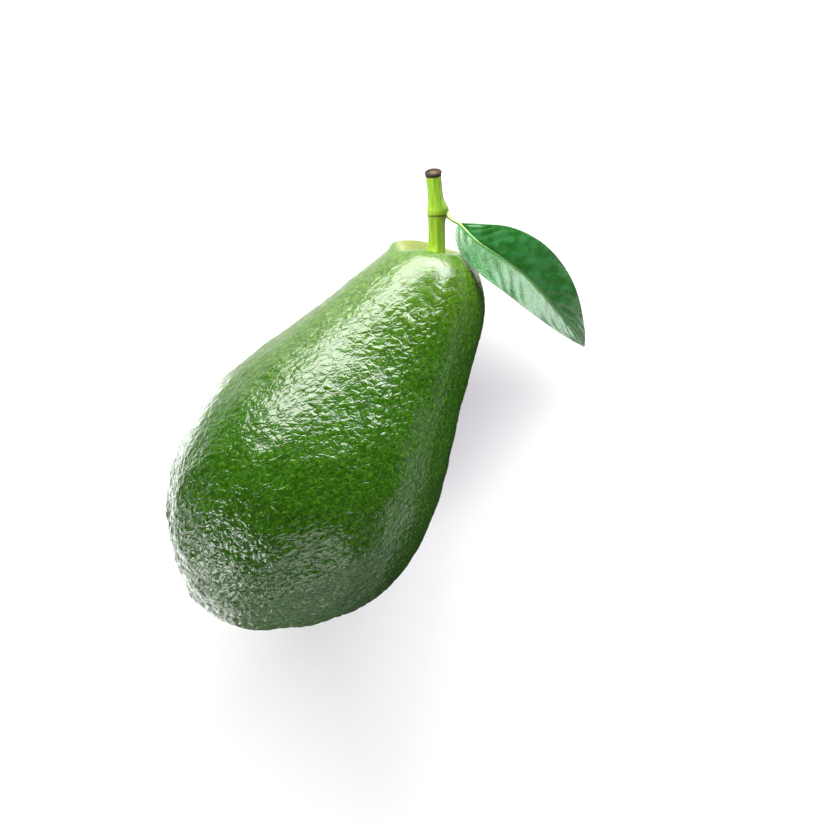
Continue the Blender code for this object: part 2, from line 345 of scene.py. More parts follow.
skin = {
    # distance from the blossom end, radius, shift to the stem's side, lean in degrees
    "sections": [
        (-0.5, 1.1, 0.2, 0.0), (-0.3, 4.4, 0.2, 0.0), (0.5, 8.1, 0.3, 0.0), (2.7, 12.4, 0.6, 0.0),
        (6.2, 17.1, 0.8, 0.0), (10.6, 21.8, 0.8, 0.0), (15.8, 26.5, 0.6, 0.0), (21.8, 30.5, 0.3, 0.0),
        (28.7, 33.6, 0.1, 0.0), (36.2, 35.4, 0.0, 0.0), (44.0, 36.0, 0.0, 0.0), (55.0, 34.8, 0.0, 0.0),
        (66.0, 31.9, 0.0, 0.0), (77.0, 27.8, 0.1, 0.0), (88.0, 23.7, 0.2, 0.0), (99.0, 20.1, 0.3, 1.5),
        (107.5, 17.2, 0.8, 4.6), (112.0, 15.1, 1.7, 8.5), (115.2, 12.9, 3.5, 14.5), (117.2, 10.6, 5.3, 20.5),
        (118.2, 8.7, 6.4, 25.0),
    ],
    # depth below the rim and radius
    "cavity": [(0.1, 7.6), (0.7, 6.6), (1.7, 5.7), (2.7, 4.7), (3.3, 3.5), (3.5, 1.6)],
    # share of the radius, lobes round the fruit, twist per metre along it, start
    "swells": [(0.0070, 2, 55.0, 0.0), (0.0042, 3, -90.0, 1.0)],
    "flatness": 0.975,
    "sides": 88,
    "lineSteps": 12,
    "ringStep": 2.5,
    # the rim isn't level: angle round the fruit, reach either way, how far it stands up there, and
    # how far along the fruit that starts
    "rimMoves": [(-66.0, 62.0, 1.2, 113.0), (32.0, 50.0, -1.6, 109.5), (98.0, 60.0, -0.5, 110.0)],
    # and it is flared: angle, reach, how far out, and how far along the fruit that starts
    "rimFlares": [(-22.0, 64.0, 2.1, 111.0), (95.0, 75.0, 1.9, 106.0)],
    # relief: size and height of the lumps, the wrinkles and the small bumps, and how the wrinkles run
    "lumps": (6.5, 0.32),
    "wrinkles": (2.5, 0.15),
    "bumps": (1.2, 0.06),
    # what makes the wrinkles crooked: size and push, in wrinkles
    "wrinkleWarps": [(1.4, 0.55), (0.5, 0.14)],
    # the start of that noise, so that every run bends them alike
    "wrinkleSeed": 4,
    # width of the groove between two wrinkles, and the share of their height that lies below the skin
    "wrinkleGroove": 0.42,
    "wrinkleSunk": 0.6,
    "grainTurnDeg": -40.0,
    "grainStretch": 1.45,
    # it is stronger near the blossom end: from where to where, and how much
    "rougherBase": (48.0, 16.0, 2.3),
    # and fades out round the rim and on the shoulder: middle, from where to where, and what is left
    "smoothSpots": [((116.5, 5.5, 0.0), 8.0, 21.0, 0.08), ((109.5, 2.5, 14.0), 3.0, 12.0, 0.35)],
}
grain = Matrix.Rotation(-math.radians(skin["grainTurnDeg"]), 3, "Z")
grain = Matrix.Diagonal((1 / skin["grainStretch"], 1, 1)) @ grain
noise.seed_set(skin["wrinkleSeed"])


def skinRelief(place):
    # how far the skin stands out at a place in the fruit's frame, in millimetres
    along = grain @ place
    size, height = skin["lumps"]
    relief = height * noise.noise(along / size)
    size, height = skin["wrinkles"]
    warped = along.copy()
    for share, push in skin["wrinkleWarps"]:
        warped += noise.noise_vector(along / (share * size)) * size * push
    nearest, second = noise.voronoi(warped / size)[0][:2]
    relief += height * (min(1.0, (second - nearest) / skin["wrinkleGroove"]) - skin["wrinkleSunk"])
    size, height = skin["bumps"]
    return relief + height * noise.noise(along / size)


def smoothShare(value, low, high):
    share = min(1.0, max(0.0, (value - low) / (high - low)))
    return share * share * (3 - 2 * share)


def reliefStrength(place):
    startsAt, endsAt, most = skin["rougherBase"]
    strength = 1 + (most - 1) * smoothShare(place.x, startsAt, endsAt)
    for middle, low, high, least in skin["smoothSpots"]:
        strength *= least + (1 - least) * smoothShare((place - Vector(middle)).length, low, high)
    return strength


def skinRings():
    plain = [(along * mm, shift * mm, radius * mm) for along, radius, shift, lean in skin["sections"]]
    leans = [(math.radians(row[3]), 0.0) for row in skin["sections"]]
    line = []
    steps = skin["lineSteps"]
    for place, lean in zip(smoothLine(plain, steps), smoothLine(leans, steps)):
        line.append(Vector((*place, lean[0])))
    x, y, radius, lean = line[-1]
    for depth, inside in skin["cavity"]:
        xBelow, yBelow = x - math.cos(lean) * depth * mm, y - math.sin(lean) * depth * mm
        line.append(Vector((xBelow, yBelow, inside * mm, lean)))
    return [tuple(row) for row in evenLine(line, skin["ringStep"] * mm)]


def rimShare(moves, x, turn):
    # how far the rim is moved at this place along the fruit and this angle round it
    rimAt = skin["sections"][-1][0]
    total = 0.0
    for angle, reach, height, startsAt in moves:
        away = min(1.0, abs(math.degrees(turn) - angle) / reach)
        share = min(1.0, max(0.0, (x / mm - startsAt) / (rimAt - startsAt)))
        total += height * mm * (0.5 + 0.5 * math.cos(math.pi * away)) * share * share
    return total


def makeSkin():
    rings = skinRings()
    piece = sweepRings("fruit_skin", rings, skin["sides"])
    for vert in piece.data.vertices:
        x, y, radius, lean = rings[vert.index // skin["sides"]]
        arm = vert.co - Vector((x, y, 0))
        turn = math.atan2(arm.z, arm.y)
        vert.co += arm * sum(share * math.sin(lobes * turn + twist * x + start)
                             for share, lobes, twist, start in skin["swells"])
        vert.co.z *= skin["flatness"]
        vert.co += Vector((math.cos(lean), math.sin(lean), 0)) * rimShare(skin["rimMoves"], x, turn)
        vert.co += arm.normalized() * rimShare(skin["rimFlares"], x, turn)
    closeEnds(piece)
    makeFiner(piece, 2)
    moves = [vert.normal * skinRelief(vert.co / mm) * reliefStrength(vert.co / mm) * mm
             for vert in piece.data.vertices]
    for vert, move in zip(piece.data.vertices, moves):
        vert.co += move
    layPieceDown(piece)
    # the flat spot that the fruit rests on
    selectVerts(piece, [vert.index for vert in piece.data.vertices if vert.co.z < 0])
    bpy.ops.transform.resize(value=(1, 1, 0), center_override=(0, 0, 0))
    bpy.ops.object.mode_set(mode="OBJECT")
    bpy.ops.object.shade_smooth()
    return piece


skinColours = {
    "deep": (0.0085, 0.040, 0.0008, 1),
    "fresh": (0.026, 0.086, 0.0028, 1),
    # partly painted light: this lighter yellow-green also stands for the lit side that faces the key lamp
    "ripeAndLit": (0.062, 0.130, 0.0050, 1),
    "fleck": (0.070, 0.165, 0.012, 1),
    "creaseShade": (0.006, 0.028, 0.0006, 1),
    "cavity": (0.120, 0.150, 0.018, 1),
    "scar": (0.050, 0.030, 0.012, 1),
}
skinFinish = {
    # cell size, height, crookedness and share of grain of the finest relief
    "cell": 2.1,
    "height": 0.085,
    "warp": 1.5,
    "grain": 0.30,
    # two shades: size, and from where to where they mix
    "mottle": (0.9, 0.32, 0.68),
    # yellower towards the neck, partly real ripening and partly painted light on the stem's side, which faces
    # the key lamp: how much the side counts, from where to where, share
    "ripeAndLit": (1.1, 74.0, 138.0, 0.75),
    # pale dots: spacing, radius, share of cells with one, and share of colour
    "flecks": (1.25, 0.36, 0.7, 0.45),
    # painted shade in the creases: how much of its dark colour is mixed in
    "creases": 0.50,
    # distances from a middle: where the colour ends and where it is full
    "cavity": ((115.2, 5.4, -1.2), 11.0, 9.4),
    "scar": ((-0.5, 0.2, 0.0), 1.9, 1.1),
    # roughness between two values, in patches: size, and from where to where they mix
    "roughness": (0.17, 0.25),
    "patches": (3.0, 0.3, 0.7),
    "ior": 1.5,
}


def makeSkinMaterial():
    made, tree, shader = newMaterial("avocado_skin")
    place = useGroup(tree, fruitFrame)["Place"]
    parts = addNode(tree, "ShaderNodeSeparateXYZ", Vector=place).outputs
    stretched = addNode(
        tree, "ShaderNodeMapping", {"vector_type": "TEXTURE"},
        Vector=place, Rotation=(0, 0, math.radians(skin["grainTurnDeg"])), Scale=(skin["grainStretch"], 1, 1),
    ).outputs["Vector"]
    cells = useGroup(
        tree, pebbles, Place=stretched,
        Size=skinFinish["cell"], Warp=skinFinish["warp"], Grain=skinFinish["grain"],
    )
    size, low, high = skinFinish["mottle"]
    colour = useGroup(
        tree, mottle, Place=place, Size=size, Dark=skinColours["deep"], Light=skinColours["fresh"],
        Low=low, High=high,
    )["Colour"]
    # real yellowing towards the neck, with painted light on the side that faces the key lamp
    sideways, startsAt, endsAt, most = skinFinish["ripeAndLit"]
    ripeAndLit = mathNode(tree, "MULTIPLY_ADD", parts["Y"], sideways, parts["X"])
    ripeAndLit = smoothStep(tree, ripeAndLit, startsAt, endsAt, 0.0, most)
    colour = mixColour(tree, ripeAndLit, colour, skinColours["ripeAndLit"])
    spacing, radius, kept, most = skinFinish["flecks"]
    flecks = useGroup(tree, specks, Place=place, Spacing=spacing, Radius=radius, Kept=kept)["Mask"]
    colour = mixColour(tree, mathNode(tree, "MULTIPLY", flecks, most), colour, skinColours["fleck"])
    # painted shade: the creases of the finest relief are coloured darker
    creases = mathNode(tree, "MULTIPLY", cells["Creases"], skinFinish["creases"])
    colour = mixColour(tree, creases, colour, skinColours["creaseShade"])
    for mark in ("cavity", "scar"):
        middle, endsAt, fullAt = skinFinish[mark]
        inside = smoothStep(tree, vectorNode(tree, "DISTANCE", place, middle), endsAt, fullAt)
        colour = mixColour(tree, inside, colour, skinColours[mark])
    tree.links.new(colour, shader.inputs["Base Color"])
    startsAt, endsAt, most = skin["rougherBase"]
    strength = smoothStep(tree, parts["X"], startsAt, endsAt, 1.0, most)
    for middle, low, high, least in skin["smoothSpots"]:
        fade = smoothStep(tree, vectorNode(tree, "DISTANCE", place, middle), low, high, least, 1.0)
        strength = mathNode(tree, "MULTIPLY", strength, fade)
    bump = addNode(
        tree, "ShaderNodeBump", Height=mathNode(tree, "MULTIPLY", cells["Height"], strength),
        Distance=skinFinish["height"] * mm,
    )
    tree.links.new(bump.outputs["Normal"], shader.inputs["Normal"])
    glossy, dull = skinFinish["roughness"]
    size, low, high = skinFinish["patches"]
    rough = useGroup(
        tree, mottle, Place=place, Size=size,
        Dark=(glossy, glossy, glossy, 1), Light=(dull, dull, dull, 1), Low=low, High=high,
    )["Colour"]
    tree.links.new(rough, shader.inputs["Roughness"])
    shader.inputs["IOR"].default_value = skinFinish["ior"]
    return made


fruitSkin = makeSkin()
fruitSkin.data.materials.append(makeSkinMaterial())
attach(fruitSkin, "root")
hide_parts("fruit")
print("avocado: skin ready,", len(fruitSkin.data.polygons), "faces")


# Stem

stem = {
    # place in the fruit's frame and radius
    "points": [
        (115.7, 4.4, 0.0, 3.0), (116.9, 4.9, 0.0, 2.65), (118.6, 5.7, 0.0, 2.4), (121.0, 7.2, 0.1, 2.3),
        (123.8, 9.1, 0.2, 2.3), (125.8, 10.5, 0.3, 2.42), (126.6, 11.1, 0.3, 2.52), (127.4, 11.6, 0.3, 2.38),
        (129.3, 13.0, 0.4, 2.15), (131.6, 14.8, 0.4, 2.08), (133.6, 16.45, 0.4, 2.12), (134.9, 17.5, 0.4, 2.2),
    ],
    "lineSteps": 8,
    "step": 0.25,
    "sides": 56,
    # the end, past the last point: step outwards and share of the radius
    "end": [(0.20, 1.10), (0.30, 1.08), (0.22, 0.92), (-0.12, 0.74), (-0.28, 0.50), (-0.06, 0.20)],
    "cutSlantDeg": 20.0,
    "cutReach": 3.0,
    # how many round the stem, how much they twist along it, and their share of the height
    "ridges": [(9, 2.0, 1.0), (5, -3.0, 0.5)],
    "ridgeHeight": 0.07,
    # bulges: middle, reach and height
    "bulges": [((128.4, 9.3, 0.5), 1.9, 1.05), ((129.4, 10.9, 0.7), 0.9, 0.35)],
    # the ring at the node, in shares of the length, and the groove that follows it, in widths
    "nodeAt": 0.515,
    "nodeWidth": 0.016,
    "nodeHeight": 0.05,
    "grooveAfter": 2.2,
}


def tubeAlong(name, rows, sides):
    # rows of place and radius, swept as a curve with a round bevel
    curve = bpy.data.curves.new(name, "CURVE")
    curve.dimensions = "3D"
    curve.bevel_depth = 1.0
    curve.bevel_resolution = (sides - 4) // 2
    spline = curve.splines.new("POLY")
    spline.points.add(len(rows) - 1)
    for knot, row in zip(spline.points, rows):
        knot.co = (*row[:3], 1)
        knot.radius = row[3]
    piece = bpy.data.objects.new(name, curve)
    bpy.context.collection.objects.link(piece)
    makeActive(piece)
    bpy.ops.object.convert(target="MESH")
    return bpy.context.active_object


def makeStem():
    sides = stem["sides"]
    rows = smoothLine([[v * mm for v in row] for row in stem["points"]], stem["lineSteps"])
    rows = evenLine(rows, stem["step"] * mm)
    piece = tubeAlong("fruit_stem", rows, sides)
    middles = [Vector(row[:3]) for row in rows]
    outwards = (middles[-1] - middles[-2]).normalized()
    count = len(piece.data.vertices)
    selectVerts(piece, range(count - sides, count))
    share = 1.0
    for step, nextShare in stem["end"]:
        middles.append(middles[-1] + outwards * step * mm)
        bpy.ops.mesh.extrude_region_move(TRANSFORM_OT_translate={"value": outwards * step * mm})
        bpy.ops.transform.resize(value=(nextShare / share,) * 3, center_override=middles[-1])
        share = nextShare
    bpy.ops.object.mode_set(mode="OBJECT")
    along = piece.data.attributes.new("along", "FLOAT", "POINT")
    inEnd = piece.data.attributes.new("inEnd", "FLOAT", "POINT")
    slantAxis = outwards.cross(Vector((0, 0, 1)))
    slant = Matrix.Rotation(math.radians(stem["cutSlantDeg"]), 3, slantAxis) @ outwards
    last = len(rows) - 1
    for vert in piece.data.vertices:
        ring = vert.index // sides
        arm = vert.co - middles[ring]
        share = min(1.0, ring / last)
        turn = 2 * math.pi * (vert.index % sides) / sides
        if ring <= last:
            ridge = sum(part * math.sin(lobes * turn + twist * share)
                        for lobes, twist, part in stem["ridges"])
            fromNode = (share - stem["nodeAt"]) / stem["nodeWidth"]
            collar = math.exp(-fromNode ** 2)
            groove = math.exp(-(fromNode - stem["grooveAfter"]) ** 2)
            height = stem["ridgeHeight"] * ridge + stem["nodeHeight"] * (collar - groove)
            vert.co += arm.normalized() * height * mm
        for middle, reach, height in stem["bulges"]:
            away = (vert.co - Vector(middle) * mm).length / (reach * mm)
            vert.co += arm.normalized() * height * mm * math.exp(-away ** 2)
        cut = min(1.0, max(0.0, 1 - (last - ring) * stem["step"] / stem["cutReach"]))
        vert.co -= outwards * cut * cut * arm.dot(slant) / outwards.dot(slant)
        along.data[vert.index].value = share
        inEnd.data[vert.index].value = max(0.0, (ring - last) / len(stem["end"]))
    closeEnds(piece)
    makeFiner(piece, 1)
    layPieceDown(piece)
    bpy.ops.object.shade_smooth()
    return piece


stemColours = {
    "light": (0.280, 0.450, 0.026, 1),
    "green": (0.170, 0.360, 0.012, 1),
    "ring": (0.105, 0.075, 0.010, 1),
    "fork": (0.200, 0.250, 0.045, 1),
    "rim": (0.020, 0.011, 0.004, 1),
    "pith": (0.110, 0.070, 0.026, 1),
}
stemFinish = {
    # the fibres: which way they run, how long they are drawn, and how their two shades mix
    "fibreTurnDeg": 38.0,
    "fibreStretch": 6,
    "fibres": (1.0, 0.3, 0.7),
    # the finest relief
    "grainSize": 0.7,
    "grain": 0.6,
    "grainHeight": 0.06,
    # the ring at the node: how far before it, where it ends and is full, and its share
    "ringBefore": 0.01,
    "ring": (0.016, 0.006, 0.85),
    # the fork of the leaf's stalk: middle, where it ends and where it is full
    "fork": ((128.3, 8.6, 0.4), 2.2, 0.9),
    # dried edge and pith: where each starts and is full, along the stem and over its end
    "dried": (0.958, 0.978),
    "pith": (0.76, 0.92),
    # fresh and dried
    "roughness": (0.45, 0.85),
}


def makeStemMaterial():
    made, tree, shader = newMaterial("green_stem")
    place = useGroup(tree, fruitFrame)["Place"]
    along = addNode(tree, "ShaderNodeAttribute", {"attribute_name": "along"}).outputs["Fac"]
    inEnd = addNode(tree, "ShaderNodeAttribute", {"attribute_name": "inEnd"}).outputs["Fac"]
    stretched = addNode(
        tree, "ShaderNodeMapping", {"vector_type": "TEXTURE"},
        Vector=place, Rotation=(0, 0, math.radians(stemFinish["fibreTurnDeg"])),
        Scale=(stemFinish["fibreStretch"], 1, 1),
    ).outputs["Vector"]
    size, low, high = stemFinish["fibres"]
    colour = useGroup(
        tree, mottle, Place=stretched, Size=size, Dark=stemColours["green"], Light=stemColours["light"],
        Low=low, High=high,
    )["Colour"]
    fromRing = mathNode(tree, "SUBTRACT", along, stem["nodeAt"] - stemFinish["ringBefore"])
    endsAt, fullAt, most = stemFinish["ring"]
    ring = smoothStep(tree, mathNode(tree, "ABSOLUTE", fromRing), endsAt, fullAt, 0.0, most)
    colour = mixColour(tree, ring, colour, stemColours["ring"])
    middle, endsAt, fullAt = stemFinish["fork"]
    fork = smoothStep(tree, vectorNode(tree, "DISTANCE", place, middle), endsAt, fullAt)
    colour = mixColour(tree, fork, colour, stemColours["fork"])
    dried = smoothStep(tree, along, *stemFinish["dried"])
    colour = mixColour(tree, dried, colour, stemColours["rim"])
    pith = smoothStep(tree, inEnd, *stemFinish["pith"])
    colour = mixColour(tree, pith, colour, stemColours["pith"])
    tree.links.new(colour, shader.inputs["Base Color"])
    height = useGroup(
        tree, pebbles, Place=stretched, Size=stemFinish["grainSize"], Grain=stemFinish["grain"]
    )["Height"]
    bump = addNode(tree, "ShaderNodeBump", Height=height, Distance=stemFinish["grainHeight"] * mm)
    tree.links.new(bump.outputs["Normal"], shader.inputs["Normal"])
    roughness = smoothStep(tree, dried, 0.0, 1.0, *stemFinish["roughness"])
    tree.links.new(roughness, shader.inputs["Roughness"])
    return made


fruitStem = makeStem()
fruitStem.data.materials.append(makeStemMaterial())
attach(fruitStem, "root")
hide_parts("stem")
print("avocado: stem ready,", len(fruitStem.data.polygons), "faces")


# Leaf

leaf = {
    # the stalk: place and radius
    "stalk": [
        (128.3, 9.6, 0.4, 1.30), (127.9, 8.5, 0.6, 0.95), (127.4, 7.3, 1.2, 0.64), (127.3, 5.7, 2.3, 0.52),
        (127.5, 4.1, 3.2, 0.50),
    ],
    # the midrib: place, width towards the fruit and width on the other side
    "midrib": [
        (127.5, 4.1, 3.2, 2.3, 0.6), (126.8, -2.4, 5.6, 6.5, 4.7), (127.1, -9.5, 6.8, 8.1, 7.7),
        (126.9, -17.2, 7.0, 8.3, 8.6), (125.5, -24.5, 6.4, 7.5, 8.0), (123.3, -31.6, 5.0, 5.8, 5.9),
        (120.6, -38.6, 2.8, 3.1, 2.7), (118.2, -43.2, 0.6, 0.2, 0.2),
    ],
    # how far both halves fold up, how the blade tilts, and how much the fold eases to the margin
    "foldDeg": 20.0,
    "tiltDeg": -6.0,
    "flatterMargin": 0.25,
    # the margin's waves: height, how many, and how much they lag from one side to the other
    "wave": 0.35,
    "waves": 3.5,
    "waveSkew": 1.2,
    # how far the midrib lies nearer to the fruit than the middle line
    "midribShift": 1.0,
    # share of the length over which the base is rounded
    "roundBase": 0.05,
    "bladeSteps": 12,
    "rows": 230,
    "columns": 76,
    "thickness": 0.42,
    "sharpEdgeDeg": 50,
    "stalkSteps": 8,
    "stalkStep": 0.35,
    "stalkSides": 24,
    # the midrib under the blade: radius at both ends, how deep, within what share it sinks there,
    # and how many steps before the blade's tip it ends
    "midribRadius": (0.40, 0.22),
    "midribBelow": 0.30,
    "midribSinks": 0.2,
    "midribStops": 4,
}
veins = {
    # side veins: how many, how far they run towards the tip, and their sizes in millimetres
    "count": 12.5,
    "run": 0.105,
    "bend": 0.050,
    "spacing": 2.8,
    "reach": 0.75,
    "depth": 0.115,
    # they sway: how fast along the leaf and across it, and how far, in steps from vein to vein
    "sways": [(9.0, 2.0, 0.16), (31.0, 0.0, 0.07)],
    # how fast they fade to the margin, and the millimetres beside the midrib where they fade
    "marginFade": 4,
    "midribFade": 1.5,
    # the groove over the midrib: its sizes, and how fast it fades to the tip
    "midribReach": 0.50,
    "midribDepth": 0.28,
    "tipFade": 5,
    # their colour: where a line ends and is full, and the same for its fading to the margin
    "line": (0.26, 0.06),
    "lineFade": (0.97, 0.6),
    # the midrib's line: half width at the base, how much is added to the tip, and its soft edge
    "midribLine": (0.022, 0.020, 2.2),
    "marginLine": (0.965, 0.99),
}


def bladePlace(rows, share, side):
    # a place of the blade: share of its length, and side from -1 at one margin to 1 at the other
    at = share * (len(rows) - 1)
    i = min(int(at), len(rows) - 2)
    row = rows[i].lerp(rows[i + 1], at - i)
    forwards = Vector((rows[i + 1] - rows[i])[:3]).normalized()
    across = forwards.cross(Vector((0, 0, 1))).normalized()
    across = Matrix.Rotation(math.radians(leaf["tiltDeg"]), 3, forwards) @ across
    upwards = across.cross(forwards)
    shift = leaf["midribShift"] * math.sin(math.pi * share)
    base = min(1.0, share / leaf["roundBase"])
    base = math.sqrt(1 - (1 - base) ** 2)
    near, far = (row[3] - shift) * base, (row[4] + shift) * base
    out = side * (near if side > 0 else far)
    lift = abs(out) * math.tan(math.radians(leaf["foldDeg"])) * (1 - leaf["flatterMargin"] * abs(side))
    phase = leaf["waves"] * 2 * math.pi * share + leaf["waveSkew"] * side
    wave = leaf["wave"] * math.sin(math.pi * share) * side * side * math.sin(phase)
    edge = abs(side)
    vein = veins["count"] * (share - veins["run"] * edge - veins["bend"] * edge * edge)
    vein += 0.5 if side < 0 else 0.0
    vein += sum(sway * math.sin(along * share + aside * side) for along, aside, sway in veins["sways"])
    fromVein = abs(vein - round(vein)) * veins["spacing"]
    pillow = 1 - math.exp(-(fromVein / veins["reach"]) ** 2)
    pillow *= veins["depth"] * min(1.0, (1 - edge) * veins["marginFade"])
    pillow *= min(1.0, abs(out) / veins["midribFade"])
    groove = veins["midribDepth"] * math.exp(-(out / veins["midribReach"]) ** 2)
    groove *= min(1.0, (1 - share) * veins["tipFade"])
    return (Vector(row[:3]) + across * (out + shift) + upwards * (lift + wave + pillow - groove)) * mm


def makeBlade():
    rows = smoothLine(leaf["midrib"], leaf["bladeSteps"])
    deselectAll()
    bpy.ops.mesh.primitive_grid_add(x_subdivisions=leaf["rows"], y_subdivisions=leaf["columns"], size=2)
    piece = bpy.context.active_object
    piece.name = piece.data.name = "leaf_blade"
    for vert in piece.data.vertices:
        vert.co = bladePlace(rows, (vert.co.x + 1) / 2, vert.co.y)
    makeActive(piece)
    bpy.ops.object.mode_set(mode="EDIT")
    bpy.ops.mesh.select_all(action="SELECT")
    bpy.ops.mesh.remove_doubles(threshold=0.00001)
    bpy.ops.object.mode_set(mode="OBJECT")
    if piece.data.polygons[len(piece.data.polygons) // 2].normal.z < 0:
        piece.data.flip_normals()
    solid = piece.modifiers.new("thickness", "SOLIDIFY")
    solid.thickness = leaf["thickness"] * mm
    solid.offset = 0
    solid.material_offset = 1
    applyModifiers(piece)
    layPieceDown(piece)
    bpy.ops.object.shade_smooth_by_angle(angle=math.radians(leaf["sharpEdgeDeg"]))
    return piece


def makeStalk():
    # the stalk, and the midrib that goes on from it under the blade
    rib = smoothLine(leaf["stalk"], leaf["stalkSteps"])[:-1]
    spine = smoothLine([row[:3] for row in leaf["midrib"]], leaf["stalkSteps"])[:-leaf["midribStops"]]
    wide, slim = leaf["midribRadius"]
    for number, row in enumerate(spine):
        share = number / (len(spine) - 1)
        sunk = leaf["midribBelow"] * min(1, share / leaf["midribSinks"])
        shift = leaf["midribShift"] * math.sin(math.pi * share)
        rib.append(Vector((row[0] - shift, row[1], row[2] - sunk, wide + (slim - wide) * share)))
    rows = evenLine([row * mm for row in rib], leaf["stalkStep"] * mm)
    piece = tubeAlong("leaf_stalk", rows, leaf["stalkSides"])
    closeEnds(piece)
    layPieceDown(piece)
    bpy.ops.object.shade_smooth()
    return piece


leafColours = {
    "blade": (0.0160, 0.125, 0.0130, 1),
    "bladeLight": (0.0400, 0.205, 0.0540, 1),
    "vein": (0.030, 0.130, 0.030, 1),
    "midrib": (0.150, 0.300, 0.090, 1),
    "margin": (0.130, 0.250, 0.110, 1),
    "underside": (0.070, 0.180, 0.060, 1),
    "stalk": (0.270, 0.320, 0.080, 1),
}
leafFinish = {
    # shares of colour that veins, midrib and margin add on top, and the ribs below
    "vein": 0.3,
    "midrib": 0.85,
    "margin": 0.7,
    "ribsBelow": 0.7,
    # size of the two shades on the blade and on the stalk
    "bladeMottle": 3.0,
    "stalkMottle": 1.2,
    # the blade's finest relief
    "grainSize": 0.7,
    "grain": 0.5,
    "grainHeight": 0.025,
    "bladeRoughness": 0.25,
    "undersideRoughness": 0.55,
    "stalkRoughness": 0.45,
}


def makeVeinGroup():
    # masks of the side veins, the midrib and the margin from the blade's UV map
    group, start, end = newGroup(
        "leafVeins", [],
        [("Vein", "NodeSocketFloat"), ("Midrib", "NodeSocketFloat"), ("Margin", "NodeSocketFloat")],
    )
    flat = addNode(group, "ShaderNodeUVMap").outputs["UV"]
    parts = addNode(group, "ShaderNodeSeparateXYZ", Vector=flat).outputs
    share = parts["X"]
    side = mathNode(group, "MULTIPLY_ADD", parts["Y"], 2.0, -1.0)
    edge = mathNode(group, "ABSOLUTE", side)
    run = mathNode(group, "MULTIPLY_ADD", edge, -veins["run"], share)
    run = mathNode(group, "MULTIPLY_ADD", mathNode(group, "MULTIPLY", edge, edge), -veins["bend"], run)
    vein = mathNode(group, "MULTIPLY", run, veins["count"])
    other = mathNode(group, "MULTIPLY", mathNode(group, "LESS_THAN", side, 0.0), 0.5)
    vein = mathNode(group, "ADD", vein, other)
    for along, aside, sway in veins["sways"]:
        swing = mathNode(group, "MULTIPLY_ADD", share, along, mathNode(group, "MULTIPLY", side, aside))
        vein = mathNode(group, "MULTIPLY_ADD", mathNode(group, "SINE", swing), sway, vein)
    fromVein = mathNode(group, "MULTIPLY", mathNode(group, "PINGPONG", vein, 0.5), veins["spacing"])
    fade = smoothStep(group, edge, *veins["lineFade"])
    mask = mathNode(group, "MULTIPLY", smoothStep(group, fromVein, *veins["line"]), fade)
    group.links.new(mask, end["Vein"])
    base, more, soft = veins["midribLine"]
    slim = mathNode(group, "MULTIPLY_ADD", share, more, base)
    wide = mathNode(group, "MULTIPLY", slim, soft)
    group.links.new(smoothStep(group, edge, wide, slim), end["Midrib"])
    group.links.new(smoothStep(group, edge, *veins["marginLine"]), end["Margin"])
    return group


def makeBladeMaterial(leafVeins):
    made, tree, shader = newMaterial("leaf_green")
    place = useGroup(tree, fruitFrame)["Place"]
    masks = useGroup(tree, leafVeins)
    colour = useGroup(
        tree, mottle, Place=place, Size=leafFinish["bladeMottle"],
        Dark=leafColours["blade"], Light=leafColours["bladeLight"],
    )["Colour"]
    for mask, name in (("Vein", "vein"), ("Midrib", "midrib"), ("Margin", "margin")):
        share = mathNode(tree, "MULTIPLY", masks[mask], leafFinish[name])
        colour = mixColour(tree, share, colour, leafColours[name])
    tree.links.new(colour, shader.inputs["Base Color"])
    height = useGroup(
        tree, pebbles, Place=place, Size=leafFinish["grainSize"], Grain=leafFinish["grain"]
    )["Height"]
    bump = addNode(tree, "ShaderNodeBump", Height=height, Distance=leafFinish["grainHeight"] * mm)
    tree.links.new(bump.outputs["Normal"], shader.inputs["Normal"])
    shader.inputs["Roughness"].default_value = leafFinish["bladeRoughness"]
    return made


def makeUndersideMaterial(leafVeins):
    made, tree, shader = newMaterial("leaf_underside")
    masks = useGroup(tree, leafVeins)
    ribs = mathNode(tree, "MAXIMUM", masks["Vein"], masks["Midrib"])
    ribs = mathNode(tree, "MULTIPLY", ribs, leafFinish["ribsBelow"])
    colour = mixColour(tree, ribs, leafColours["underside"], leafColours["midrib"])
    tree.links.new(colour, shader.inputs["Base Color"])
    shader.inputs["Roughness"].default_value = leafFinish["undersideRoughness"]
    return made


def makeStalkMaterial():
    made, tree, shader = newMaterial("leaf_stalk")
    place = useGroup(tree, fruitFrame)["Place"]
    colour = useGroup(
        tree, mottle, Place=place, Size=leafFinish["stalkMottle"],
        Dark=leafColours["midrib"], Light=leafColours["stalk"],
    )["Colour"]
    tree.links.new(colour, shader.inputs["Base Color"])
    shader.inputs["Roughness"].default_value = leafFinish["stalkRoughness"]
    return made


leafVeins = makeVeinGroup()
leafBlade = makeBlade()
leafStalk = makeStalk()
leafBlade.data.materials.append(makeBladeMaterial(leafVeins))
leafBlade.data.materials.append(makeUndersideMaterial(leafVeins))
leafStalk.data.materials.append(makeStalkMaterial())
for piece in (leafBlade, leafStalk):
    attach(piece, "root")
    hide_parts("leaf")
print("avocado: leaf ready,", len(leafBlade.data.polygons) + len(leafStalk.data.polygons), "faces")


# Floor, light and camera

studio = {
    # radius in metres, and how far below the fruit the floor lies
    "floorRadius": 3.0,
    "floorDrop": 0.05,
    "floorColour": (0.60, 0.60, 0.60, 1),
    "floorRoughness": 0.6,
    # the floor glows for the camera alone, painted light that lifts its shadows: near the fruit, further out,
    # and between which distances in metres
    "floorGlow": (0.21, 1.0, 0.14, 0.40),
    # the tint of that lift, against the green in the lamps
    "floorTint": (1.12, 0.96, 1.25),
    "cardColour": (0.01, 0.01, 0.01, 1),
    "cardHeight": 0.2,
    # the camera sees the world at full strength, and the fruit is lit by this share of it
    "worldColour": (1.0, 1.0, 1.0, 1),
    "worldDim": 0.04,
}
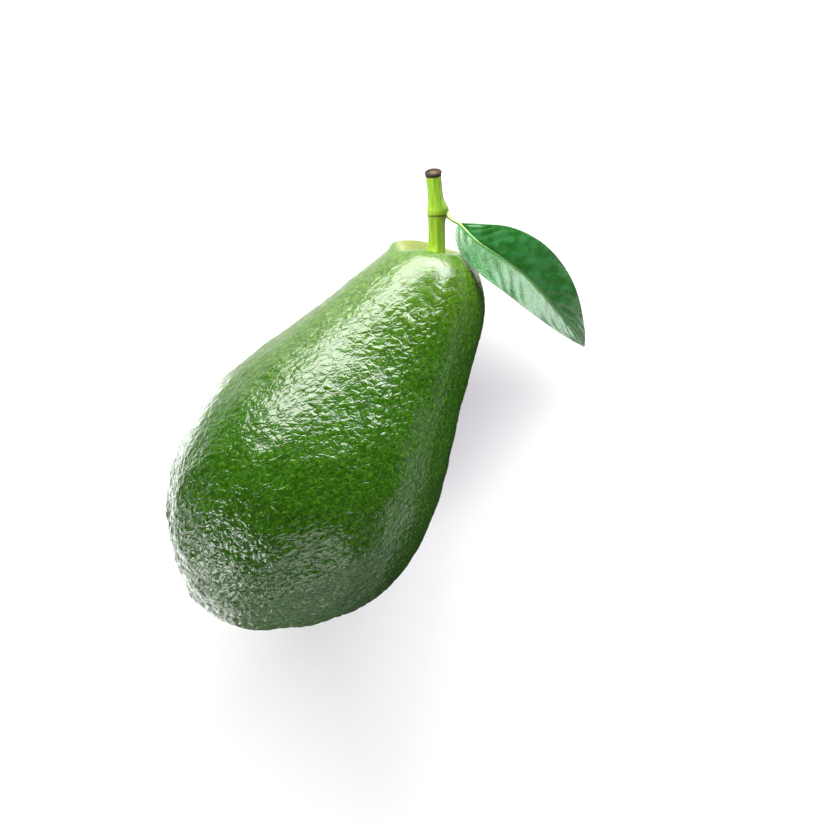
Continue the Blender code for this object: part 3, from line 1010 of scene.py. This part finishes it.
# painted reflections: cards on the floor that only show in what the fruit mirrors, the black one a dark sheet
# and
# the others glowing: name, middle and size in millimetres, turn in degrees, glow
cards = [
    ("black_card", (57.0, -66.0), (244.0, 106.0), 0.0, 0.0),
    ("white_card", (-98.0, 53.0), (180.0, 90.0), 33.4, 4.8),
    ("grey_card", (-98.0, -42.0), (80.0, 110.0), 33.4, 0.15),
    ("far_card", (-5.0, -320.0), (110.0, 300.0), 0.0, 2.3),
]
# name, azimuth and elevation in degrees, distance, width and height in metres, radiance, colour
lamps = [
    ("key_softbox", 43, 24, 0.62, 0.54, 0.38, 16.0, (1.0, 0.99, 0.95)),
    ("side_softbox", 359, 18, 0.68, 0.47, 0.38, 19.0, (1.0, 1.0, 1.0)),
    ("low_softbox", 228, 27, 0.90, 0.80, 0.50, 4.0, (0.93, 1.0, 0.86)),
    ("left_softbox", 163, 22, 0.90, 0.46, 0.44, 13.0, (0.95, 1.0, 0.92)),
    ("leaf_softbox", 318, 24, 0.60, 0.86, 0.44, 11.5, (0.98, 1.0, 1.0)),
]


def makeFloor():
    deselectAll()
    bpy.ops.mesh.primitive_circle_add(
        vertices=96, radius=studio["floorRadius"], fill_type="NGON",
        location=(0, 0, -studio["floorDrop"] * mm),
    )
    floor = bpy.context.active_object
    floor.name = "floor"
    bpy.ops.object.transform_apply(location=True, rotation=True, scale=True)
    made, tree, shader = newMaterial("studio_floor")
    shader.inputs["Base Color"].default_value = studio["floorColour"]
    shader.inputs["Roughness"].default_value = studio["floorRoughness"]
    near, far, startsAt, endsAt = studio["floorGlow"]
    place = addNode(tree, "ShaderNodeTexCoord").outputs["Object"]
    glow = smoothStep(tree, vectorNode(tree, "DISTANCE", place, (0, 0, 0)), startsAt, endsAt, near, far)
    # painted light: this glow, seen by the camera alone, lifts the floor's shadows
    seen = addNode(tree, "ShaderNodeLightPath").outputs["Is Camera Ray"]
    lift = vectorNode(tree, "SCALE", studio["floorTint"], mathNode(tree, "MULTIPLY", glow, seen))
    tree.links.new(lift, shader.inputs["Emission Color"])
    shader.inputs["Emission Strength"].default_value = 1.0
    floor.data.materials.append(made)


def makeCard(name, middle, size, turnDeg, glow):
    deselectAll()
    bpy.ops.mesh.primitive_plane_add(size=1)
    card = bpy.context.active_object
    card.name = name
    card.scale = (size[0] * mm, size[1] * mm, 1)
    card.rotation_euler = (0, 0, math.radians(turnDeg))
    card.location = (middle[0] * mm, middle[1] * mm, studio["cardHeight"] * mm)
    bpy.ops.object.transform_apply(location=True, rotation=True, scale=True)
    made, tree, shader = newMaterial(name)
    shader.inputs["Base Color"].default_value = studio["cardColour"]
    shader.inputs["Roughness"].default_value = 1.0
    shader.inputs["Emission Color"].default_value = (1, 1, 1, 1)
    shader.inputs["Emission Strength"].default_value = glow
    card.data.materials.append(made)
    # painted reflection: the card shows only in what is mirrored, as a dark sheet or a glow
    card.visible_camera = card.visible_diffuse = card.visible_shadow = False


def makeLamp(name, azimuth, elevation, distance, width, height, radiance, colour):
    way = Matrix.Rotation(math.radians(azimuth), 3, "Z") @ Matrix.Rotation(-math.radians(elevation), 3, "Y")
    way = way @ Vector((1, 0, 0))
    deselectAll()
    bpy.ops.object.light_add(type="AREA", location=way * distance)
    lamp = bpy.context.active_object
    lamp.name = name
    lamp.rotation_euler = way.to_track_quat("Z", "Y").to_euler()
    lamp.data.shape = "RECTANGLE"
    lamp.data.size = width
    lamp.data.size_y = height
    lamp.data.energy = radiance * math.pi * width * height
    lamp.data.color = colour
    lamp.visible_camera = False
    return lamp


def chooseLit(lamp, name, pieces, state):
    # the lamp lights these pieces alone, or all but these
    chosen = bpy.data.collections.new(name)
    for piece in pieces:
        chosen.objects.link(piece)
    lamp.light_linking.receiver_collection = chosen
    for entry in chosen.collection_objects:
        entry.light_linking.link_state = state


def makeWorld():
    world = bpy.data.worlds.new("studio")
    bpy.context.scene.world = world
    world.use_nodes = True
    tree = world.node_tree
    background = tree.nodes["Background"]
    background.inputs["Color"].default_value = studio["worldColour"]
    seen = addNode(tree, "ShaderNodeLightPath").outputs["Is Camera Ray"]
    strength = addNode(tree, "ShaderNodeMapRange", Value=seen, To_Min=studio["worldDim"], To_Max=1.0)
    tree.links.new(strength.outputs["Result"], background.inputs["Strength"])


# The camera in the fruit's frame: what it looks at, how far the picture is turned against the fruit,
# how far it stands towards the stem's end, and its distance, lens and sensor in millimetres
shot = {
    "target": (76.5, -15.5, 0.0),
    "tiltDeg": 33.4,
    "elevationDeg": 6.0,
    "distance": 900.0,
    "lens": 140.9,
    "sensor": 36,
}


def makeCamera():
    tilt = math.radians(shot["tiltDeg"])
    rise = math.radians(shot["elevationDeg"])
    upright = Vector((math.cos(tilt), math.sin(tilt), 0))
    rightward = Vector((math.sin(tilt), -math.cos(tilt), 0))
    outward = Vector((0, 0, 1))
    toCamera = math.cos(rise) * outward + math.sin(rise) * upright
    cameraUp = math.cos(rise) * upright - math.sin(rise) * outward
    place = Vector(shot["target"]) * mm + toCamera * shot["distance"] * mm
    view = Matrix((rightward, cameraUp, toCamera)).transposed().to_4x4()
    view.translation = place
    deselectAll()
    bpy.ops.object.camera_add()
    camera = bpy.context.active_object
    camera.name = "camera"
    camera.matrix_world = layDown @ view
    camera.data.lens = shot["lens"]
    camera.data.sensor_width = shot["sensor"]
    camera.data.clip_start = 0.01
    bpy.context.scene.camera = camera


makeFloor()
for row in cards:
    makeCard(*row)
lampsMade = {row[0]: makeLamp(*row) for row in lamps}
# a reflector for the leaf's sheen alone
chooseLit(lampsMade["leaf_softbox"], "lit_by_leaf_softbox", [leafBlade], "INCLUDE")
lampsMade["leaf_softbox"].visible_diffuse = False
# the stem's right side and the leaf's base stay in shade
chooseLit(lampsMade["side_softbox"], "not_lit_by_side_softbox", [fruitStem, leafBlade], "EXCLUDE")
makeWorld()
makeCamera()
bpy.context.scene.view_settings.view_transform = "Standard"
print("avocado: studio ready")

print("avocado: done")
